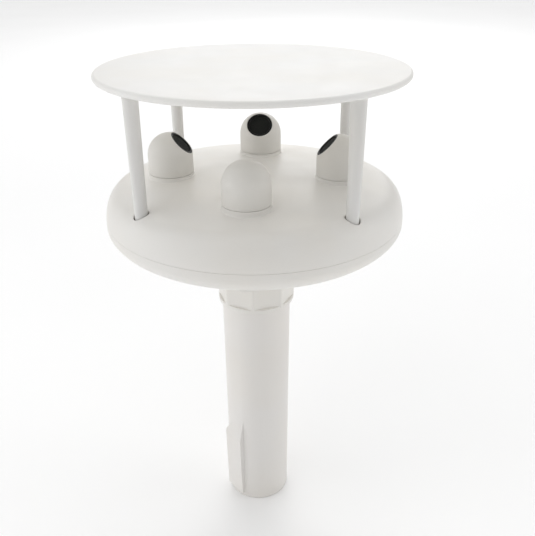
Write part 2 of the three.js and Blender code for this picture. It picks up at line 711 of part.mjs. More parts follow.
const sealTop = WEB_SEAT - 0.1;
const connectorSeal = ring(CONNECTOR_HOLE + 0.2, 8.4, sealTop - CONNECTOR_SEAL + 0.1, sealTop);
const nutBottom = SOCKET_DEPTH + WEB_THICKNESS + 0.2;
add('connector_shell', connectorShell(), 'steel');
add('connector_insert', connectorInsert(), 'nylon');
add('connector_seal', connectorSeal, 'rubber');
add('connector_nut', hexNut(9.4, CONNECTOR_HOLE, nutBottom, 3.2), 'steel');
add('wiring_harness', wiringHarness(), 'wire');

export default assembly;
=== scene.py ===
# The looks of a compact ultrasonic wind sensor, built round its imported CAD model.
# Lengths in the outlines below are millimetres; Blender's own are metres.
import json
import math

import bmesh
import bpy
from mathutils import Matrix, Vector


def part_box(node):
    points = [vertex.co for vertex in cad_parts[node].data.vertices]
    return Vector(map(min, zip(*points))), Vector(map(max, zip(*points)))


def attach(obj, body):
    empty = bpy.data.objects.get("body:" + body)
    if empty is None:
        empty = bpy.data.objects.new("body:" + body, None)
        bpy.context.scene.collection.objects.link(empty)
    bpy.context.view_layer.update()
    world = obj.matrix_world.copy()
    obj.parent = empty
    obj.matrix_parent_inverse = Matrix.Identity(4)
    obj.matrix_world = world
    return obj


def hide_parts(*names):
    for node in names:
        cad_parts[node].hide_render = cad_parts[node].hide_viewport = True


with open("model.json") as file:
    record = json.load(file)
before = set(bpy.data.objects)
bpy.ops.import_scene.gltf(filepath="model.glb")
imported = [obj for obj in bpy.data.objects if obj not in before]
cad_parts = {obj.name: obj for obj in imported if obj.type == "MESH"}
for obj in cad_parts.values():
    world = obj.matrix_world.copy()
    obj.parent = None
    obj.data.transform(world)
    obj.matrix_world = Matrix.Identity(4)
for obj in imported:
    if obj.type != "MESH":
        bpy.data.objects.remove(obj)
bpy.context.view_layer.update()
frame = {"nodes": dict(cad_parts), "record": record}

MM = 0.001
LARGE_STEPS = 192       # segments round the plate and the housing
MEDIUM_STEPS = 96       # round the tube and the domes
SMALL_STEPS = 48        # round legs, screws and connector parts
SIDES = {"right": 0, "back": 90, "left": 180, "front": 270}
CORNERS = {"back_right": 45, "back_left": 135, "front_left": 225, "front_right": 315}


# ---------------------------------------------------------------- camera

def add_camera():
    """A long-lens view from the front and a little above."""
    lens_mm = 44.4
    sensor_mm = 36
    azimuth = math.radians(5)
    distance = 0.3063
    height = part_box("reflector_plate")[1].z + 0.0528
    pitch = 0.4674
    yaw = 0.0196
    roll = -0.0061
    ahead = Vector((math.sin(yaw), math.cos(yaw), 0))
    forward = ahead * math.cos(pitch) - Vector((0, 0, math.sin(pitch)))
    level = Vector((math.cos(yaw), -math.sin(yaw), 0))
    up = level.cross(forward)
    right = math.cos(roll) * level + math.sin(roll) * up
    upward = right.cross(forward)
    axes = Matrix((right, upward, -forward)).transposed().to_4x4()
    turn = Matrix.Rotation(azimuth, 4, "Z")
    data = bpy.data.cameras.new("camera")
    data.lens = lens_mm
    data.sensor_width = sensor_mm
    data.sensor_fit = "AUTO"
    data.clip_start = 0.01
    camera = bpy.data.objects.new("camera", data)
    camera.matrix_world = turn @ Matrix.Translation((0, -distance, height)) @ axes
    bpy.context.scene.collection.objects.link(camera)
    bpy.context.scene.camera = camera


add_camera()


# ---------------------------------------------------------------- sizes from the frame

def box_mm(node):
    low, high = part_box(node)
    return low / MM, high / MM


plate_low, plate_high = box_mm("reflector_plate")
upper_low, upper_high = box_mm("upper_shell")
lower_low = box_mm("lower_shell")[0]
dome_low, dome_high = box_mm("sensor_dome_right")
leg_low, leg_high = box_mm("leg_front_right")
tube_high = box_mm("mounting_tube")[1]
seal_low, seal_high = box_mm("dome_seal_right")

PLATE_RADIUS = plate_high.x
PLATE_TOP = plate_high.z
PLATE_THICKNESS = 2.85
PLATE_UNDERSIDE = PLATE_TOP - PLATE_THICKNESS
LEG_BOSS_BOTTOM = plate_low.z

BODY_RADIUS = upper_high.x
SEAM = upper_low.z - 0.15
SEAT_TOP = upper_high.z
BODY_TOP = SEAT_TOP - 0.8
BODY_CROWN = 3
BODY_WIDEST = SEAM - 2.2
BODY_BOTTOM = BODY_WIDEST - 12.9
SHOULDER_START = 61.5
SHOULDER_POWER = 2.5
BODY_BOTTOM_FLAT = 48
BOWL_POWER = 1.86
WALL = 2.6
FLOOR = BODY_BOTTOM + WALL
FLANGE_RADIUS = 67.3

DOME_RADIUS = (dome_high.y - dome_low.y) / 2
DOME_CIRCLE = (dome_high.x + dome_low.x) / 2
DOME_CENTRE = dome_high.z - DOME_RADIUS
DOME_BASE = SEAT_TOP + 0.14
SPIGOT_BOTTOM = dome_low.z
SPIGOT_RADIUS = 5.5
FACE_OFFSET = 8.4
FACE_BORE = 6.55

LEG_CIRCLE = math.hypot(leg_low.x + leg_high.x, leg_low.y + leg_high.y) / 2
LEG_TOP_RADIUS = 3.3
LEG_FOOT_RADIUS = 2.82
LEG_FOOT = leg_low.z
LEG_POCKET_RADIUS = LEG_FOOT_RADIUS + 0.55

COLLAR_BOTTOM = lower_low.z
COLLAR_RADIUS = 19.9
COLLAR_BORE = 16
TUBE_TOP_RADIUS = tube_high.x
TUBE_FOOT_RADIUS = TUBE_TOP_RADIUS - 0.7
TUBE_TOP = tube_high.z
SOCKET_RADIUS = 14.2
SOCKET_DEPTH = 60.2
WEB_SEAT = SOCKET_DEPTH + 0.6
LOCK_PAD_ANGLE = 90
LOCK_PAD_REACH = 18.2
LOCK_PAD_HALF_WIDTH = 7.5
KEY_ANGLE = -137
KEY_FOOT_REACH = 17.7
KEY_HEAD_REACH = 18.6
KEY_HALF_WIDTH = 6.8
PAD_BOTTOM = 3.2        # both the lock pad and the key
PAD_HEAD = 42.5         # where their face ends and slopes back
PAD_TOP = 61.5


# ---------------------------------------------------------------- outlines

def fillet(corners, steps=6):
    """(x, y, radius) corners as a line of points, each corner rounded to its radius."""
    points = []
    for place, (x, y, radius) in enumerate(corners):
        corner = Vector((x, y))
        if radius == 0 or place in (0, len(corners) - 1):
            points.append((x, y))
            continue
        before = (Vector(corners[place - 1][:2]) - corner).normalized()
        after = (Vector(corners[place + 1][:2]) - corner).normalized()
        half = before.angle(after) / 2
        start = corner + before * (radius / math.tan(half))
        centre = corner + (before + after).normalized() * (radius / math.sin(half))
        arm = start - centre
        sweep = math.pi - 2 * half
        if before.x * after.y - before.y * after.x > 0:
            sweep = -sweep
        for step in range(steps + 1):
            turned = Matrix.Rotation(sweep * step / steps, 2) @ arm
            points.append(tuple(centre + turned))
    return points


def edge_curve(widest, flat, start, level_at, power, steps=28):
    """A quarter of a superellipse in (radius, height), from the widest point to a surface whose
    level is a function of the radius."""
    points = []
    for step in range(steps + 1):
        angle = math.pi / 2 * step / steps
        radius = flat + (widest - flat) * max(math.cos(angle), 0) ** (2 / power)
        rise = math.sin(angle) ** (2 / power)
        points.append((radius, start + (level_at(radius) - start) * rise))
    return points


def crown_level(radius):
    """Height of the housing's crowned top."""
    return BODY_TOP - BODY_CROWN * (radius / LEG_CIRCLE) ** 2


def body_level(radius):
    """Height of the housing's upper surface, its shoulder included."""
    if radius <= SHOULDER_START:
        return crown_level(radius)
    across = min((radius - SHOULDER_START) / (BODY_RADIUS - SHOULDER_START), 1)
    rise = (1 - across ** SHOULDER_POWER) ** (1 / SHOULDER_POWER)
    return BODY_WIDEST + (crown_level(radius) - BODY_WIDEST) * rise


def octagon(corner, angle):
    """Radius at an angle of an octagon with softly rounded corners on the axes."""
    rounding = 1.3
    half = math.pi / 8
    off = abs((angle + half) % (2 * half) - half)
    centre = corner - rounding / math.cos(half)
    if off < math.atan2(rounding * math.sin(half), centre + rounding * math.cos(half)):
        return centre * math.cos(off) + math.sqrt(rounding ** 2 - (centre * math.sin(off)) ** 2)
    return corner * math.cos(half) / math.cos(half - off)


# ---------------------------------------------------------------- meshes

def new_piece(name, mesh):
    """A bmesh as a smooth-shaded object, its faces pointing out."""
    bmesh.ops.remove_doubles(mesh, verts=mesh.verts, dist=1e-7)
    bmesh.ops.recalc_face_normals(mesh, faces=mesh.faces)
    data = bpy.data.meshes.new(name)
    mesh.to_mesh(data)
    mesh.free()
    piece = bpy.data.objects.new(name, data)
    bpy.context.scene.collection.objects.link(piece)
    return piece


def lathe(name, outline, steps, section=None):
    """A solid turned about Z from (radius, height) points. An outline that starts on the axis
    ends on it, and any other closes on itself. A section gives the true radius at an angle."""
    mesh = bmesh.new()
    rings = []
    for radius, height in outline:
        count = steps if radius > 1e-6 else 1
        ring = []
        for step in range(count):
            angle = math.tau * step / steps
            reach = section(radius, angle) if section and radius > 1e-6 else radius
            spot = (reach * math.cos(angle) * MM, reach * math.sin(angle) * MM, height * MM)
            ring.append(mesh.verts.new(spot))
        rings.append(ring)
    pairs = list(zip(rings, rings[1:]))
    if outline[0][0] > 1e-6:
        pairs.append((rings[-1], rings[0]))
    for near, far in pairs:
        for step in range(steps):
            after = step + 1
            corners = [
                near[step % len(near)],
                near[after % len(near)],
                far[after % len(far)],
                far[step % len(far)],
            ]
            mesh.faces.new(dict.fromkeys(corners))
    return new_piece(name, mesh)


def cylinder(name, radius, bottom, top, steps=SMALL_STEPS):
    return lathe(name, [(0, bottom), (radius, bottom), (radius, top), (0, top)], steps)


def slab(name, outline, thickness):
    """An upright plate: a (radius, height) outline, extruded across its radius."""
    mesh = bmesh.new()
    half = thickness / 2 * MM
    verts = [mesh.verts.new((x * MM, -half, z * MM)) for x, z in outline]
    face = mesh.faces.new(verts)
    grown = bmesh.ops.extrude_face_region(mesh, geom=[face])["geom"]
    moved = [item for item in grown if isinstance(item, bmesh.types.BMVert)]
    bmesh.ops.translate(mesh, verts=moved, vec=(0, 2 * half, 0))
    return new_piece(name, mesh)


def apply_modifiers(piece):
    evaluated = piece.evaluated_get(bpy.context.evaluated_depsgraph_get())
    data = bpy.data.meshes.new_from_object(evaluated)
    piece.modifiers.clear()
    piece.data = data
    return piece


def combine(piece, tools, operation):
    """Joins tools to a piece, or cuts them from it, and removes them."""
    for tool in tools:
        modifier = piece.modifiers.new(operation.lower(), "BOOLEAN")
        modifier.operation = operation
        modifier.solver = "MANIFOLD"
        modifier.object = tool
    apply_modifiers(piece)
    for tool in tools:
        bpy.data.objects.remove(tool, do_unlink=True)
    return piece


def join(piece, tools):
    return combine(piece, tools, "UNION")


def cut(piece, tools):
    return combine(piece, tools, "DIFFERENCE")


def round_edges(piece, width, angle=40, segments=3):
    modifier = piece.modifiers.new("round", "BEVEL")
    modifier.width = width * MM
    modifier.segments = segments
    modifier.limit_method = "ANGLE"
    modifier.angle_limit = math.radians(angle)
    return apply_modifiers(piece)


def place(piece, angle=0, radius=0):
    """Moves a piece out along +X and turns it about Z, in its mesh."""
    turn = Matrix.Rotation(math.radians(angle), 4, "Z")
    piece.data.transform(turn @ Matrix.Translation((radius * MM, 0, 0)))
    return piece


def follow_body(piece, circle):
    """Shifts a piece's points up or down, so that what was level follows the housing's top."""
    for vertex in piece.data.vertices:
        radius = math.hypot(circle + vertex.co.x / MM, vertex.co.y / MM)
        vertex.co.z += (body_level(radius) - body_level(circle)) * MM
    return piece


def around(make, radius, table):
    """One piece from make() for each angle in a table, on a circle."""
    return [place(make(), angle, radius) for angle in table.values()]


def smooth(piece, crease=32):
    """Smooth shading with hard creases, and flats that stay flat."""
    piece.data.shade_smooth()
    piece.data.set_sharp_from_angle(angle=math.radians(crease))
    modifier = piece.modifiers.new("weighted", "WEIGHTED_NORMAL")
    modifier.keep_sharp = True
    modifier.weight = 50
    return apply_modifiers(piece)


def stand_for(piece, material, node, body="root"):
    """Dresses a finished piece, and puts it in the place of a CAD node."""
    smooth(piece)
    piece.data.materials.clear()
    piece.data.materials.append(material)
    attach(piece, body)
    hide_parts(node)
    return piece


# ---------------------------------------------------------------- materials

class Shader:
    """A Principled material, with short calls for the nodes that feed it."""

    def __init__(self, name, roughness, metallic=0.0, **constants):
        self.material = bpy.data.materials.new(name)
        self.material.use_nodes = True
        self.nodes = self.material.node_tree.nodes
        self.links = self.material.node_tree.links
        self.surface = self.nodes["Principled BSDF"]
        self.surface.inputs["Roughness"].default_value = roughness
        self.surface.inputs["Metallic"].default_value = metallic
        for socket, value in constants.items():
            self.surface.inputs[socket.replace("_", " ")].default_value = value
        self.coordinates = self.nodes.new("ShaderNodeTexCoord").outputs["Object"]
        self.normal = None

    def stretched(self, scale):
        """Coordinates scaled unevenly, for streaks."""
        mapping = self.nodes.new("ShaderNodeMapping")
        mapping.inputs["Scale"].default_value = scale
        self.links.new(self.coordinates, mapping.inputs["Vector"])
        return mapping.outputs["Vector"]

    def noise(self, scale, detail=2.0, vector=None):
        node = self.nodes.new("ShaderNodeTexNoise")
        node.inputs["Scale"].default_value = scale
        node.inputs["Detail"].default_value = detail
        self.links.new(vector or self.coordinates, node.inputs["Vector"])
        return node.outputs["Fac"]

    def cells(self, scale, vector=None):
        node = self.nodes.new("ShaderNodeTexVoronoi")
        node.inputs["Scale"].default_value = scale
        self.links.new(vector or self.coordinates, node.inputs["Vector"])
        return node.outputs["Distance"]

    def remap(self, value, low, high, to_low, to_high):
        node = self.nodes.new("ShaderNodeMapRange")
        node.inputs["From Min"].default_value = low
        node.inputs["From Max"].default_value = high
        node.inputs["To Min"].default_value = to_low
        node.inputs["To Max"].default_value = to_high
        self.links.new(value, node.inputs["Value"])
        return node.outputs["Result"]

    def mix(self, factor, first, second):
        """Two colours, or the colours of two sockets, mixed by a factor."""
        node = self.nodes.new("ShaderNodeMix")
        node.data_type = "RGBA"
        self.links.new(factor, node.inputs["Factor"])
        for value, socket in ((first, node.inputs[6]), (second, node.inputs[7])):
            if isinstance(value, bpy.types.NodeSocket):
                self.links.new(value, socket)
            else:
                socket.default_value = (*value, 1)
        return node.outputs[2]

    def color(self, value):
        self.links.new(value, self.surface.inputs["Base Color"])

    def roughness(self, value):
        self.links.new(value, self.surface.inputs["Roughness"])

    def bump(self, height, strength, depth):
        node = self.nodes.new("ShaderNodeBump")
        node.inputs["Strength"].default_value = strength
        node.inputs["Distance"].default_value = depth * MM
        self.links.new(height, node.inputs["Height"])
        if self.normal is not None:
            self.links.new(self.normal, node.inputs["Normal"])
        self.normal = node.outputs["Normal"]
        self.links.new(self.normal, self.surface.inputs["Normal"])


def tinted(color, factor):
    return tuple(min(1, channel * factor) for channel in color)


def moulded_white(name, color, roughness, grain=0.05, streaks=False):
    """Satin moulded plastic: faint mottling, a fine moulding grain and barely wavy flats."""
    shader = Shader(name, roughness, Specular_IOR_Level=0.45)
    warm = (color[0], color[1] * 0.988, color[2] * 0.965)
    mottle = shader.remap(shader.noise(24, 3), 0.35, 0.68, 0, 1)
    base = shader.mix(mottle, color, warm)
    speck = shader.remap(shader.noise(1500, 3), 0.55, 0.8, 0, 0.35)
    shader.color(shader.mix(speck, base, tinted(color, 0.93)))
    along = shader.stretched((260, 260, 9)) if streaks else None
    polish = shader.noise(1 if streaks else 120, 3, along)
    shader.roughness(shader.remap(polish, 0.3, 0.7, roughness - 0.06, roughness + 0.08))
    shader.bump(shader.noise(30, 1), 0.12, 0.12)
    shader.bump(shader.noise(2300, 2), grain, 0.05)
    return shader.material


def rubber(name, color, roughness):
    """Black elastomer: dull, with fine pores and a trace of dust."""
    shader = Shader(name, roughness, Specular_IOR_Level=0.3)
    dust = shader.remap(shader.noise(260, 4), 0.5, 0.8, 0, 0.25)
    shader.color(shader.mix(dust, color, (0.05, 0.049, 0.047)))
    shader.roughness(shader.remap(shader.noise(420, 3), 0.3, 0.7, roughness - 0.1, roughness + 0.1))
    shader.bump(shader.noise(1900, 3), 0.15, 0.05)
    return shader.material


def matching_layer(name):
    """The transducer's front: a dark glass-bubble resin with a fine open grain."""
    shader = Shader(name, 0.75, Specular_IOR_Level=0.12)
    cells = shader.cells(2600)
    grain = shader.remap(cells, 0.1, 0.55, 0, 1)
    shader.color(shader.mix(grain, (0.003, 0.0032, 0.003), (0.017, 0.018, 0.0165)))
    shader.roughness(shader.remap(shader.noise(800, 2), 0.3, 0.7, 0.65, 0.85))
    shader.bump(cells, 0.5, 0.08)
    return shader.material


def metal(name, color, roughness, brushed=(600, 600, 60)):
    """Machined metal: turning marks, and small changes of tone."""
    shader = Shader(name, roughness, 1.0)
    marks = shader.noise(1, 4, shader.stretched(brushed))
    tone = shader.remap(marks, 0.3, 0.7, 0, 1)
    shader.color(shader.mix(tone, tinted(color, 0.88), tinted(color, 1.06)))
    shader.roughness(shader.remap(marks, 0.3, 0.7, roughness - 0.08, roughness + 0.12))
    shader.bump(marks, 0.1, 0.03)
    return shader.material


def dark_plastic(name, color, roughness):
    """Moulded nylon: near black, slightly streaked, with a soft grain."""
    shader = Shader(name, roughness)
    flow = shader.remap(shader.noise(90, 3), 0.35, 0.7, 0, 1)
    shader.color(shader.mix(flow, color, tinted(color, 1.6)))
    polish = shader.noise(500, 2)
    shader.roughness(shader.remap(polish, 0.3, 0.7, roughness - 0.08, roughness + 0.1))
    shader.bump(shader.noise(1600, 2), 0.12, 0.05)
    return shader.material


def circuit_board(name):
    """Green solder mask over copper planes and fine traces."""
    shader = Shader(name, 0.35)
    traces = shader.cells(190)
    lines = shader.remap(traces, 0.28, 0.34, 0, 1)
    shader.color(shader.mix(lines, (0.012, 0.11, 0.045), (0.02, 0.19, 0.075)))
    shader.roughness(shader.remap(shader.noise(300, 2), 0.3, 0.7, 0.28, 0.45))
    shader.bump(lines, 0.2, 0.05)
    return shader.material


LOOKS = {
    "plate_white": moulded_white("plate_white", (0.86, 0.855, 0.84), 0.5),
    # painted shade: the legs' white is made darker than the plate's, for the shade on their
    # camera-facing sides
    "leg_white": moulded_white("leg_white", (0.77, 0.765, 0.75), 0.5),
    "housing_white": moulded_white("housing_white", (0.83, 0.815, 0.785), 0.42),
    # painted shade: the domes' white is made darker than the housing's, for the shade on their
    # camera-facing fronts
    "dome_white": moulded_white("dome_white", (0.78, 0.765, 0.73), 0.48, grain=0.08),
    "tube_white": moulded_white("tube_white", (0.83, 0.81, 0.785), 0.38, streaks=True),
    "transducer_face": matching_layer("transducer_face"),
    "sleeve_rubber": rubber("sleeve_rubber", (0.004, 0.004, 0.0045), 0.45),
    "seal_rubber": rubber("seal_rubber", (0.03, 0.03, 0.031), 0.6),
    "stainless": metal("stainless", (0.6, 0.6, 0.585), 0.3),
    "tinned_steel": metal("tinned_steel", (0.66, 0.66, 0.65), 0.35),
    "connector_metal": metal("connector_metal", (0.6, 0.59, 0.565), 0.24),
    "brass": metal("brass", (0.7, 0.52, 0.22), 0.3),
    "circuit_board": circuit_board("circuit_board"),
    "black_nylon": dark_plastic("black_nylon", (0.018, 0.018, 0.019), 0.5),
    "lead_jacket": dark_plastic("lead_jacket", (0.03, 0.03, 0.033), 0.55),
}

# CAD nodes that stay are dressed by their record slot; the pieces below replace some of them.
for subpart in frame["record"]["subparts"]:
    frame["nodes"][subpart["node"]].material_slots[0].material = LOOKS[subpart["material_slot"]]


# ---------------------------------------------------------------- reflector plate and legs

def leg_boss():
    """The flared root that a leg stands in, moulded under the plate."""
    return lathe("leg_boss", fillet([
        (0, LEG_BOSS_BOTTOM, 0),
        (LEG_TOP_RADIUS + 0.12, LEG_BOSS_BOTTOM, 0.15),
        (LEG_TOP_RADIUS + 0.2, PLATE_UNDERSIDE, 1.25),
        (LEG_TOP_RADIUS + 2.2, PLATE_UNDERSIDE + 0.02, 0),
        (LEG_TOP_RADIUS + 2.2, PLATE_UNDERSIDE + 1, 0),
        (0, PLATE_UNDERSIDE + 1, 0),
    ]), SMALL_STEPS)


def reflector_plate():
    plate = lathe("reflector_plate_moulding", fillet([
        (0, PLATE_UNDERSIDE, 0),
        (PLATE_RADIUS - 6, PLATE_UNDERSIDE, 0),
        (PLATE_RADIUS, PLATE_UNDERSIDE, 1.25),
        (PLATE_RADIUS, PLATE_TOP, 1.4),
        (PLATE_RADIUS - 6, PLATE_TOP, 0),
        (0, PLATE_TOP, 0),
    ], 8), LARGE_STEPS)
    return join(plate, around(leg_boss, LEG_CIRCLE, CORNERS))


def leg(name):
    """A tapered post that stands in a pocket of the housing."""
    return lathe(name, fillet([
        (0, LEG_FOOT, 0),
        (LEG_FOOT_RADIUS, LEG_FOOT, 0.4),
        (LEG_FOOT_RADIUS, body_level(LEG_CIRCLE), 0),
        (LEG_TOP_RADIUS, LEG_BOSS_BOTTOM - 0.06, 0.12),
        (0, LEG_BOSS_BOTTOM - 0.06, 0),
    ]), SMALL_STEPS)


stand_for(reflector_plate(), LOOKS["plate_white"], "reflector_plate")
for corner, angle in CORNERS.items():
    post = place(leg("leg_post_" + corner), angle, LEG_CIRCLE)
    stand_for(post, LOOKS["leg_white"], "leg_" + corner)


# ---------------------------------------------------------------- housing

SEAM_GAP = 0.07         # shown between the shells
LIP = 0.08              # rounding of the two lips at the seam
NUT_SEAT = 190.8        # underside of the pads that the dome nuts press on


def leg_pocket():
    """Cutter for a leg's pocket, with a small round at its mouth."""
    mouth = body_level(LEG_CIRCLE)
    cutter = lathe("leg_pocket", [
        (0, LEG_FOOT - 0.3),
        (LEG_POCKET_RADIUS, LEG_FOOT - 0.3),
        (LEG_POCKET_RADIUS, mouth - 0.5),
        (LEG_POCKET_RADIUS + 0.09, mouth - 0.25),
        (LEG_POCKET_RADIUS + 0.26, mouth - 0.08),
        (LEG_POCKET_RADIUS + 0.5, mouth + 0.02),
        (LEG_POCKET_RADIUS + 0.5, mouth + 3),
        (0, mouth + 3),
    ], SMALL_STEPS)
    return follow_body(cutter, LEG_CIRCLE)


def pocket_boss():
    return cylinder("pocket_boss", 5.2, LEG_FOOT - 2.9, LEG_FOOT + 3)


def dome_seat():
    return lathe("dome_seat", fillet([
        (0, SEAT_TOP - 3.8, 0),
        (DOME_RADIUS + 0.1, SEAT_TOP - 3.8, 0),
        (DOME_RADIUS + 0.1, SEAT_TOP, 0.16),
        (0, SEAT_TOP, 0),
    ]), MEDIUM_STEPS)


def seat_root():
    """The soft cove round a dome's seat."""
    level = body_level(DOME_CIRCLE)
    ring = lathe("seat_root", fillet([
        (DOME_RADIUS - 1, level - 0.8, 0),
        (DOME_RADIUS + 1, level - 0.8, 0),
        (DOME_RADIUS + 1, level - 0.02, 0),
        (DOME_RADIUS + 0.08, level, 0.7),
        (DOME_RADIUS + 0.08, level + 0.9, 0),
        (DOME_RADIUS - 1, level + 0.9, 0),
        (DOME_RADIUS - 1, level - 0.8, 0),
    ])[:-1], MEDIUM_STEPS)
    return follow_body(ring, DOME_CIRCLE)


def nut_pad():
    return cylinder("nut_pad", 9, NUT_SEAT, SEAT_TOP - 3.6)


def spigot_hole():
    return cylinder("spigot_hole", SPIGOT_RADIUS + 0.3, NUT_SEAT - 2.8, SEAT_TOP + 3)


def upper_shell():
    rim = SEAM + SEAM_GAP / 2
    outside = edge_curve(BODY_RADIUS, SHOULDER_START, BODY_WIDEST, crown_level, SHOULDER_POWER)
    outside = [point for point in outside if point[1] > rim + LIP * 1.5]
    inside = edge_curve(BODY_RADIUS - WALL, SHOULDER_START - 1.5, SEAM + WALL,
                        lambda radius: crown_level(radius) - WALL, SHOULDER_POWER)
    crown = [(radius, crown_level(radius)) for radius in range(58, 0, -4)] + [(0, BODY_TOP)]
    edge = outside[0][0]
    shell = lathe("upper_shell_moulding", [
        *((radius, level - WALL) for radius, level in reversed(crown)),
        *reversed(inside),
        (FLANGE_RADIUS, SEAM + 1.8),
        (FLANGE_RADIUS, rim),
        (edge - LIP, rim),
        (edge - LIP * 0.3, rim + LIP * 0.3),
        (edge, rim + LIP),
        *outside,
        *crown,
    ], LARGE_STEPS)
    join(shell, around(pocket_boss, LEG_CIRCLE, CORNERS) + around(nut_pad, DOME_CIRCLE, SIDES))
    join(shell, around(seat_root, DOME_CIRCLE, SIDES) + around(dome_seat, DOME_CIRCLE, SIDES))
    holes = around(leg_pocket, LEG_CIRCLE, CORNERS) + around(spigot_hole, DOME_CIRCLE, SIDES)
    return cut(shell, holes)


def collar_rim():
    """The round rim under the octagon."""
    top = COLLAR_BOTTOM + 2.2
    return lathe("collar_rim", fillet([
        (0, COLLAR_BOTTOM, 0),
        (COLLAR_RADIUS - 0.35, COLLAR_BOTTOM, 0.3),
        (COLLAR_RADIUS - 0.25, top, 0.45),
        (0, top, 0),
    ]), LARGE_STEPS)


def collar():
    """Octagonal collar, with a cove where it meets the underside."""
    return lathe("collar", fillet([
        (0, COLLAR_BOTTOM + 1, 0),
        (COLLAR_RADIUS, COLLAR_BOTTOM + 1, 0),
        (COLLAR_RADIUS, BODY_BOTTOM, 2),
        (COLLAR_RADIUS + 4, BODY_BOTTOM + 0.03, 0),
        (COLLAR_RADIUS + 4, BODY_BOTTOM + 1, 0),
        (0, BODY_BOTTOM + 1, 0),
    ]), LARGE_STEPS, octagon)


def counterbore():
    """Cutter for a housing screw's hole in the underside."""
    seat = box_mm("housing_screw_right")[0].z + 2.7
    return lathe("counterbore", fillet([
        (0, BODY_BOTTOM - 4, 0),
        (4.1, BODY_BOTTOM - 4, 0),
        (4.1, BODY_BOTTOM + 0.9, 0),
        (3.5, BODY_BOTTOM + 1.5, 0),
        (3.5, seat, 0.3),
        (1.75, seat, 0),
        (1.75, SEAM - 2, 0),
        (0, SEAM - 2, 0),
    ]), SMALL_STEPS)


def screw_boss():
    return cylinder("screw_boss", 5, BODY_BOTTOM + 1.6, SEAM - 1)


def lower_shell():
    rim = SEAM - SEAM_GAP / 2
    bowl = edge_curve(BODY_RADIUS, BODY_BOTTOM_FLAT, BODY_WIDEST,
                      lambda radius: BODY_BOTTOM, BOWL_POWER)
    inside = edge_curve(BODY_RADIUS - WALL, BODY_BOTTOM_FLAT - 1, SEAM - WALL,
                        lambda radius: FLOOR, BOWL_POWER)
    shell = lathe("lower_shell_moulding", [
        (COLLAR_BORE, BODY_BOTTOM),
        (BODY_BOTTOM_FLAT - 14, BODY_BOTTOM),
        (BODY_BOTTOM_FLAT - 4, BODY_BOTTOM),
        *reversed(bowl),
        (BODY_RADIUS - 0.03, rim - LIP),
        (BODY_RADIUS - 0.03 - LIP * 0.3, rim - LIP * 0.3),
        (BODY_RADIUS - 0.03 - LIP, rim),
        (FLANGE_RADIUS, rim),
        (FLANGE_RADIUS, SEAM - 1.8),
        *inside,
        (BODY_BOTTOM_FLAT - 6, FLOOR),
        (COLLAR_BORE, FLOOR),
    ], LARGE_STEPS)
    circle = box_mm("housing_screw_right")
    screw_circle = (circle[0].x + circle[1].x) / 2
    join(shell, [collar(), collar_rim()] + around(screw_boss, screw_circle, SIDES))
    bore = cylinder("bore", COLLAR_BORE, COLLAR_BOTTOM - 3, FLOOR + 3, MEDIUM_STEPS)
    return cut(shell, [bore] + around(counterbore, screw_circle, SIDES))


stand_for(upper_shell(), LOOKS["housing_white"], "upper_shell")
stand_for(lower_shell(), LOOKS["housing_white"], "lower_shell")


# ---------------------------------------------------------------- ultrasonic heads

LISTENING_TILT = Matrix.Rotation(-math.pi / 4, 4, "Y")
LISTENING_AXIS = Matrix.Translation((0, 0, DOME_CENTRE * MM)) @ LISTENING_TILT


def on_listening_axis(piece):
    """Turns a piece built up Z to look inwards and 45 degrees up."""
    piece.data.transform(LISTENING_AXIS)
    return piece


def dome_cap(name):
    """Round-topped cap: a seal groove in its foot, a flat cut with a bore, a hollow spigot."""
    steps = 26
    outline = [
        (0, DOME_CENTRE + 2.5),
        (1.7, DOME_CENTRE + 2.5),
        (1.7, SPIGOT_BOTTOM),
        (SPIGOT_RADIUS, SPIGOT_BOTTOM),
        (SPIGOT_RADIUS, DOME_BASE),
        (7, DOME_BASE),
        (7, DOME_BASE + 1.55),
        (9, DOME_BASE + 1.55),
        (9, DOME_BASE),
        (DOME_RADIUS - 0.16, DOME_BASE),
        (DOME_RADIUS - 0.05, DOME_BASE + 0.05),
        (DOME_RADIUS, DOME_BASE + 0.16),
        (DOME_RADIUS, DOME_BASE + 2),
    ]
    for step in range(steps + 1):
        angle = math.pi / 2 * step / steps
        reach = DOME_RADIUS * math.cos(angle) if step < steps else 0
        outline.append((reach, DOME_CENTRE + DOME_RADIUS * math.sin(angle)))
    cap = lathe(name, outline, MEDIUM_STEPS)
    slice_and_bore = lathe("slice_and_bore", [
        (0, FACE_OFFSET - 7.8),
        (FACE_BORE, FACE_OFFSET - 7.8),
        (FACE_BORE, FACE_OFFSET - 0.16),
        (FACE_BORE + 0.06, FACE_OFFSET - 0.04),
        (FACE_BORE + 0.14, FACE_OFFSET),
        (20, FACE_OFFSET),
        (20, 30),
        (0, 30),
    ], MEDIUM_STEPS)
    return cut(cap, [on_listening_axis(slice_and_bore)])


def sleeve(name):
    """Black isolating sleeve: its front lip is the ring round the transducer."""
    inner = 5.45
    outer = FACE_BORE - 0.03
    back = FACE_OFFSET - 7.3
    front = FACE_OFFSET - 0.02
    ring = lathe(name, fillet([
        (inner, back, 0),
        (outer, back, 0),
        (outer, front, 0.22),
        (inner, front, 0.4),
        (inner, back, 0),
    ])[:-1], MEDIUM_STEPS)
    return on_listening_axis(ring)


def transducer(name):
    """Cylinder with a very slightly crowned, recessed front."""
    radius = 5.43
    back = FACE_OFFSET - 6.6
    front = FACE_OFFSET - 0.6
    return on_listening_axis(lathe(name, [
        (0, back),
        (radius, back),
        (radius, front),
        (radius - 0.12, front + 0.1),
        (radius - 0.5, front + 0.14),
        (radius * 0.6, front + 0.19),
        (radius * 0.3, front + 0.22),
        (0, front + 0.23),
    ], SMALL_STEPS))


